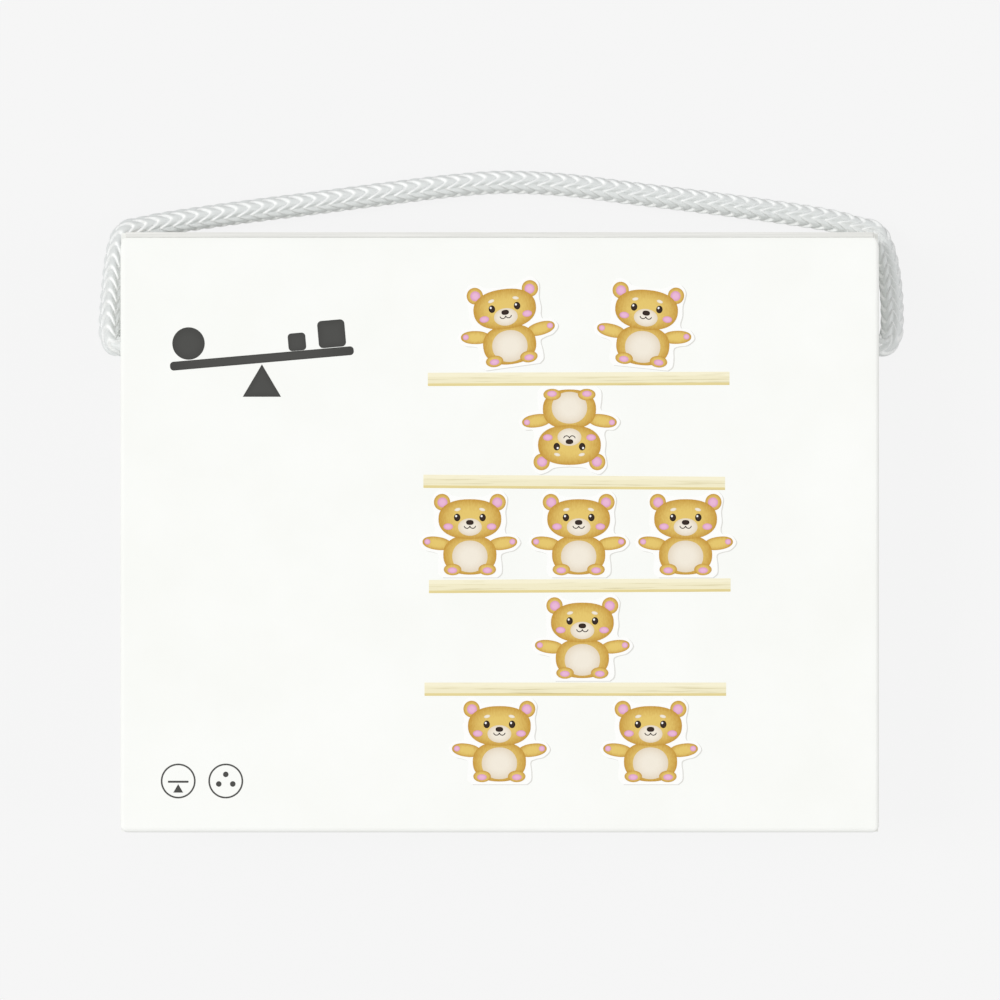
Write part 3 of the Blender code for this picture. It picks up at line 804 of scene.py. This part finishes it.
figure = dict(
    outline=[(0.540, 0.0), (0.625, 0.05), (0.63, 0.15), (0.615, 0.255), (0.72, 0.29), (0.88, 0.315),
             (1.0, 0.40), (0.89, 0.49), (0.735, 0.495), (0.69, 0.545), (0.715, 0.64), (0.70, 0.75),
             (0.725, 0.83), (0.73, 0.92), (0.60, 1.0), (0.435, 0.975), (0.30, 0.93), (0.0, 0.915)],
    count=9, width=51.0, height=44.0, edge=0.6 * mm, faceInset=1.4, lift=0.012 * mm, sink=0.03 * mm,
    padRings=[1.0, 1.0, 0.8, 0.45], points=48, outlineSteps=4, arcPoints=14, edgeSteps=6,
)

# the cub's shapes are (ink, level, x, y, half width, half height, power, tilt), and pairs are drawn on
# both sides; the mouth is two arcs of (ink, level, x, y, radius, first angle, last angle, width)
cub = dict(
    pairs=[("tan", 1, 14.0, 37.9, 4.1, 4.2, 2.0, 0), ("pink", 2, 13.8, 37.8, 2.5, 2.5, 2.0, 0),  # ears
           ("tan", 1, 16.6, 17.2, 7.3, 3.3, 2.2, 8), ("pink", 2, 21.4, 18.0, 1.5, 1.4, 2.0, 0),  # arms
           ("tan", 4, 8.7, 4.0, 4.4, 2.9, 2.0, 0), ("pink", 5, 8.8, 3.6, 2.4, 1.5, 2.0, 0),  # feet
           ("pink", 5, 10.9, 25.6, 2.4, 1.6, 2.0, 0),  # cheeks
           ("dark", 6, 6.4, 30.2, 1.6, 1.9, 2.0, 0), ("cream", 5, 6.2, 34.2, 1.6, 0.8, 2.0, -14)],  # eyes
    single=[("white", 7, -6.9, 30.9, 0.5, 0.55, 2.0, 0),  # glints
            ("white", 7, 5.9, 30.9, 0.5, 0.55, 2.0, 0),
            ("tan", 2, 0, 11.4, 13.4, 10.0, 2.3, 0), ("cream", 3, 0, 10.6, 8.9, 8.0, 2.1, 0),  # body
            ("tan", 4, 0, 29.4, 15.8, 10.0, 2.3, 0), ("cream", 5, 0, 25.4, 6.0, 4.4, 2.0, 0),  # head
            ("dark", 6, 0, 27.7, 1.9, 1.25, 2.4, 0)],  # nose
    mouth=("dark", 6, 1.45, 26.2, 1.45, 190, 350, 0.45),
)


def turned(flat, degrees, scale=1.0):
    # counter-clockwise: (u cos - v sin, u sin + v cos) times the scale
    c, s = math.cos(math.radians(degrees)) * scale, math.sin(math.radians(degrees)) * scale
    return np.stack([flat[..., 0] * c - flat[..., 1] * s, flat[..., 0] * s + flat[..., 1] * c], -1)


def ellipse(x, y, wide, high, power=2.0, tilt=0.0):
    # superellipse: |u / wide|^p + |v / high|^p = 1, then tilted
    angle = np.linspace(0, 2 * np.pi, figure["points"], endpoint=False)
    u = wide * np.sign(np.cos(angle)) * np.abs(np.cos(angle)) ** (2 / power)
    v = high * np.sign(np.sin(angle)) * np.abs(np.sin(angle)) ** (2 / power)
    return turned(np.stack([u, v], 1), tilt) + [x, y]


def barShape(x, y, long, high, tilt, corner):
    # a round-cornered bar about (x, y), tilted
    return turned(roundedBar((-long / 2, -high / 2), (long / 2, high / 2), corner), tilt) + [x, y]


def figureOutline():
    # the right half from the feet up to the crown, then its mirror image back down
    half = np.array(figure["outline"]) * [figure["width"] / 2, figure["height"]]
    right = smoothLine(half, figure["outlineSteps"])
    return np.concatenate([right, right[-2::-1] * [-1, 1]])


def arcStrip(x, y, radius, start, end, width):
    # a pen line along an arc: its path and its width
    angle = np.radians(np.linspace(start, end, figure["arcPoints"]))
    return np.stack([x + radius * np.cos(angle), y + radius * np.sin(angle)], 1), width


def cubShapes():
    shapes = [(name, level, ellipse(*values)) for name, level, *values in cub["single"]]
    penName, penLevel, penX, *penValues = cub["mouth"]
    for side in (-1, 1):
        shapes += [(name, level, ellipse(side * x, y, wide, high, power, side * tilt))
                   for name, level, x, y, wide, high, power, tilt in cub["pairs"]]
        shapes.append((penName, penLevel, arcStrip(side * penX, *penValues)))
    return shapes


def inkPad(outline, place, level, slot):
    # rings: under the face, level with the pad's top, then smaller ones; the rim's share is their size
    middle = outline.mean(axis=0)
    size = np.array(figure["padRings"])[:, None, None]
    height = np.array([-figure["sink"]] + [figure["lift"] * level] * (len(size) - 1))[:, None]
    flat = middle + (outline - middle) * size
    uv = np.broadcast_to(np.concatenate([0 * size, size], -1), flat.shape[:2] + (2,))
    return ringSolid(place(flat, height), slot, (slot, slot), uv=uv)


def inkSheet(outline, place, level, slot):
    # the same for a hollow outline: one flat face, its rim's share at nought
    height = np.array([-figure["sink"], figure["lift"] * level])[:, None]
    return ringSolid(place(np.stack([outline, outline]), height), slot, (slot, slot), fan=False)


def inkLine(path, width, place, level, slot, closed=False):
    # a pen line: along its path a flat four-cornered section
    ends = np.vstack([path[-1:], path, path[:1]]) if closed else path
    step = np.gradient(ends, axis=0)[1:-1] if closed else np.gradient(path, axis=0)
    across = leftNormals(step) * width / 2
    flat = np.stack([path - across, path + across, path + across, path - across], 1)
    under, over = -figure["sink"], figure["lift"] * level
    height = np.array([[under, under, over, over]])
    return ringSolid(place(flat, height), slot, (slot, slot), closed=closed)


def drawShapes(shapes, place):
    # a shape is an outline, or a pen line's path with its width
    return [inkLine(*shape, place, level, inkSlot(name)) if isinstance(shape, tuple)
            else inkPad(shape, place, level, inkSlot(name)) for name, level, shape in shapes]


def flatPlace(x, y, z, scale=1.0, turn=0.0):
    # figure millimetres turned, scaled and set down at (x, y) on a level face
    def place(flat, height):
        level = turned(flat, turn, scale * mm) + [x, y]
        return np.concatenate([level, np.broadcast_to(z + height, flat.shape[:-1])[..., None]], -1)
    return place


def blankSolid(outline, place, thickness, edge):
    # a sawn blank: the outline straight up, both rims rounded by a quarter circle along its normals
    inward = leftNormals(np.roll(outline, -1, axis=0) - np.roll(outline, 1, axis=0))
    turn = np.linspace(0, np.pi / 2, figure["edgeSteps"])
    face = [figure["faceInset"]]
    inset = np.concatenate([face, 1 - np.sin(turn), 1 - np.cos(turn), face]) * edge / mm
    height = np.concatenate([[0], edge * (1 - np.cos(turn)), thickness - edge * (1 - np.sin(turn)),
                             [thickness]])
    return ringSolid(place(outline + inset[:, None, None] * inward, height[:, None]), fan=False)


def buildFigures():
    outline, shapes = figureOutline(), cubShapes()
    for number in range(1, figure["count"] + 1):
        node = "figure_%d" % number
        low, high = corners(node)
        x, y = (low[0] + high[0]) / 2, low[1]
        scale = (high[1] - low[1]) / (figure["height"] * mm)
        solids = [blankSolid(outline, flatPlace(x, y, low[2], scale), high[2] - low[2], figure["edge"])]
        solids += drawShapes(shapes, flatPlace(x, y, high[2], scale))
        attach(makePiece("cub%d" % number, solids, printed, [node]), node)
    print("figures")


plank = dict(count=4, edge=0.7 * mm, corner=1.6)


def buildPlanks():
    for number in range(1, plank["count"] + 1):
        node = "plank_%d" % number
        low, high = corners(node)
        outline = roundedBar(low[:2] / mm, high[:2] / mm, plank["corner"])
        solid = blankSolid(outline, flatPlace(0, 0, low[2]), high[2] - low[2], plank["edge"])
        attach(makePiece("plank%d" % number, [solid], [wood], [node]), node)
    print("planks")


buildFigures()
buildPlanks()


# Cover print, in millimetres: a tower of cubs and planks, a seesaw mark and two ring marks. A row lists
# its cubs as (shift from the middle, turn), a plank is (shift, tilt), a foot (x, y, size), a bar (x, y,
# length, height, tilt, corner), a disc (x, y, radius) and a ring (x, y).

coverPrint = dict(
    cubHeight=23.7, rowStep=28.05, ground=-68.3, middle=20.9, leanLift=6.5, shade=(0.3, -0.2), gap=0.3,
    plankLong=81.8, plankHigh=3.6, plankTop=1.1, plankUnder=0.7, plankCorner=0.15,
    rows=[[(-21.0, 0), (20.0, 0)], [(1.5, 0)], [(-29.0, 0), (0.5, 0), (29.5, 0)], [(-2.0, 180)],
          [(-19.0, 8), (18.5, -6)]],
    planks=[(-0.4, 0.0), (0.8, 0.3), (-0.7, -0.4), (0.5, 0.2)],
    footCorners=[(-5.2, -4.4), (5.2, -4.4), (0.0, 4.4)], feet=[(-64.5, 41.2, 1.0), (-87.2, -69.4, 0.26)],
    bars=[(-64.5, 47.2, 50.0, 2.4, 5.0, 1.0), (-45.6, 53.9, 7.4, 7.4, 5.0, 1.2),
          (-55.0, 51.7, 4.8, 4.8, 5.0, 1.0), (-87.2, -67.6, 5.6, 0.55, 0.0, 0.2)],
    discs=[(-84.4, 51.25, 4.4), (-76.2, -68.2, 0.75), (-72.4, -68.2, 0.75), (-74.3, -65.6, 0.75)],
    rings=[(-87.2, -67.4), (-74.3, -67.4)], ringRadius=4.5, ringWidth=0.45, ringPoints=64, sidePoints=8,
)


def printedCub(outline, shapes, x, y, turn):
    # a thin shade beside a white sheet, and the cub's shapes on it
    scale = coverPrint["cubHeight"] / figure["height"]
    shadeX, shadeY = coverPrint["shade"]
    shade = flatPlace((x + shadeX) * mm, (y + shadeY) * mm, coverTop, scale, turn)
    place = flatPlace(x * mm, y * mm, coverTop, scale, turn)
    sheets = [inkSheet(outline, shade, 1, inkSlot("edge")), inkSheet(outline, place, 2, inkSlot("white"))]
    return sheets + drawShapes([(name, level + 2, shape) for name, level, shape in shapes], place)


def printedPlank(x, y, tilt):
    # a bar with a light strip along its upper edge and a dark one along its lower edge
    high, top, under = (coverPrint[key] for key in ("plankHigh", "plankTop", "plankUnder"))
    strips = [("woodFront", 1, y, high), ("woodTop", 2, y + (high - top) / 2, top),
              ("woodUnder", 2, y - (high - under) / 2, under)]
    solids = []
    for name, level, middle, thick in strips:
        bar = barShape(x, middle, coverPrint["plankLong"], thick, tilt, coverPrint["plankCorner"])
        solids.append(inkSheet(bar, flatPlace(0, 0, coverTop), level, inkSlot(name)))
    return solids


def towerPrint():
    # a cub stands on its feet, on its head when it is turned right round, or on a foot when it leans
    outline, shapes = figureOutline(), cubShapes()
    middle, tall = coverPrint["middle"], coverPrint["cubHeight"]
    solids = []
    for row, cubs in enumerate(coverPrint["rows"]):
        ground = coverPrint["ground"] + row * coverPrint["rowStep"]
        for shift, turn in cubs:
            lean = math.radians(turn)
            x = middle + shift + tall / 2 * math.sin(lean)
            y = ground + tall / 2 * (1 - math.cos(lean)) + coverPrint["leanLift"] * abs(math.sin(lean))
            solids += printedCub(outline, shapes, x, y, turn)
        if row < len(coverPrint["planks"]):
            shift, tilt = coverPrint["planks"][row]
            y = ground + tall + coverPrint["plankHigh"] / 2 + coverPrint["gap"]
            solids += printedPlank(middle + shift, y, tilt)
    return solids


def ringMark(x, y):
    # a pen line round a circle
    angle = np.linspace(0, 2 * np.pi, coverPrint["ringPoints"], endpoint=False)
    path = np.stack([np.cos(angle), np.sin(angle)], 1) * coverPrint["ringRadius"] + [x, y]
    return inkLine(path, coverPrint["ringWidth"], flatPlace(0, 0, coverTop), 1, inkSlot("grey"), True)


def plainMarks():
    # the foot is a triangle with points along its sides
    start = np.array(coverPrint["footCorners"])
    sides = np.linspace(start, np.roll(start, -1, axis=0), coverPrint["sidePoints"], endpoint=False)
    foot = sides.swapaxes(0, 1).reshape(-1, 2)
    shapes = [foot * size + [x, y] for x, y, size in coverPrint["feet"]]
    shapes += [barShape(*values) for values in coverPrint["bars"]]
    shapes += [ellipse(x, y, radius, radius) for x, y, radius in coverPrint["discs"]]
    solids = drawShapes([("grey", 1, shape) for shape in shapes], flatPlace(0, 0, coverTop))
    return solids + [ringMark(x, y) for x, y in coverPrint["rings"]]


printPiece = makePiece("coverPrint", towerPrint() + plainMarks(), printed)
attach(printPiece, "cover")
print("cover print", len(printPiece.data.polygons), "faces")
